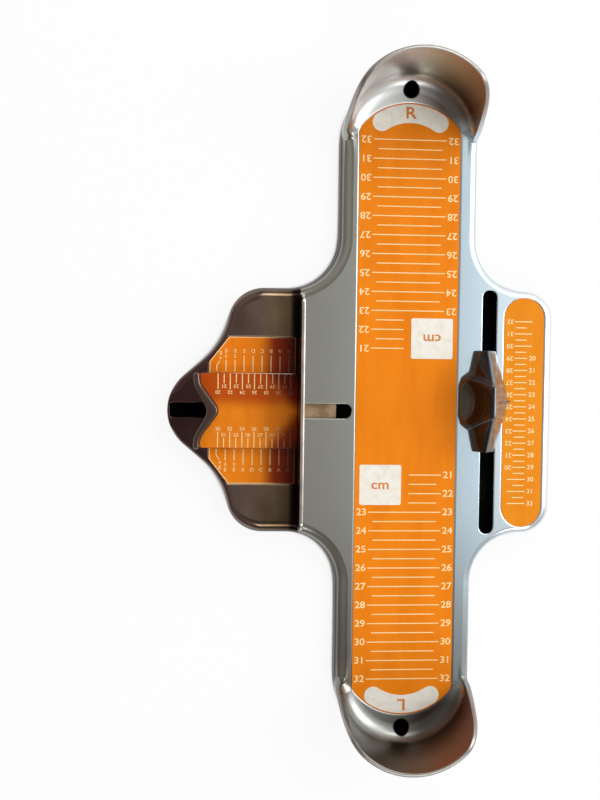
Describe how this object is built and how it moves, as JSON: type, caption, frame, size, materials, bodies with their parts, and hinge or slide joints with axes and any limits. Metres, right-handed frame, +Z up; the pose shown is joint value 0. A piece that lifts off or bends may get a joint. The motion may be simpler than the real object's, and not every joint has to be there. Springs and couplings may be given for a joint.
{
  "type": "foot measuring device",
  "caption": "Cast foot measuring device with a heel cup at each end, orange scale plates, a sliding width bar and a sliding arch length pointer.",
  "frame": {"origin": "on the table, under the middle of the foot bed, midway between the two heel holes", "axes": "+X across the bed towards the arch slider, +Y along the bed towards the right-heel cup, +Z up"},
  "size_m": [0.2055, 0.3614, 0.053],
  "materials": {
    "casting": "cast aluminium, satin polished on top, duller in the wing",
    "width_bar": "cast aluminium, satin polished",
    "arch_slider": "cast aluminium, satin polished",
    "length_plate": "orange enamel on sheet metal, satin",
    "arch_plate": "orange enamel on sheet metal, satin",
    "letter_plate": "orange enamel on sheet metal, satin",
    "size_plate": "orange enamel on sheet metal, satin",
    "marks": "cream enamel",
    "pale_enamel": "off-white enamel",
    "keeper": "dull steel sheet with a brown tarnish",
    "spring_steel": "blued spring steel",
    "fastener": "zinc plated steel"
  },
  "bodies": {
    "base": {"base_casting": "casting", "length_plate": "length_plate", "length_marks": "marks", "heel_bands": "pale_enamel", "size_panels": "pale_enamel", "arch_plate": "arch_plate", "arch_marks": "marks", "right_letter_plate": "letter_plate", "left_letter_plate": "letter_plate", "letter_marks": "marks"},
    "width_bar": {"width_bar": "width_bar", "width_size_plate": "size_plate", "width_size_marks": "marks", "width_friction_spring": "spring_steel", "width_keeper": "keeper", "width_washers": "fastener", "width_screws": "fastener"},
    "arch_slider": {"arch_slider": "arch_slider", "arch_friction_spring": "spring_steel", "arch_keeper": "keeper", "arch_washers": "fastener", "arch_screws": "fastener"}
  },
  "joints": [
    {"name": "width_slide", "type": "slide", "parent": "base", "child": "width_bar", "axis": [1, 0, 0], "range_m": [-0.036, 0.027]},
    {"name": "arch_slide", "type": "slide", "parent": "base", "child": "arch_slider", "axis": [0, 1, 0], "range_m": [-0.055, 0.042]}
  ]
}
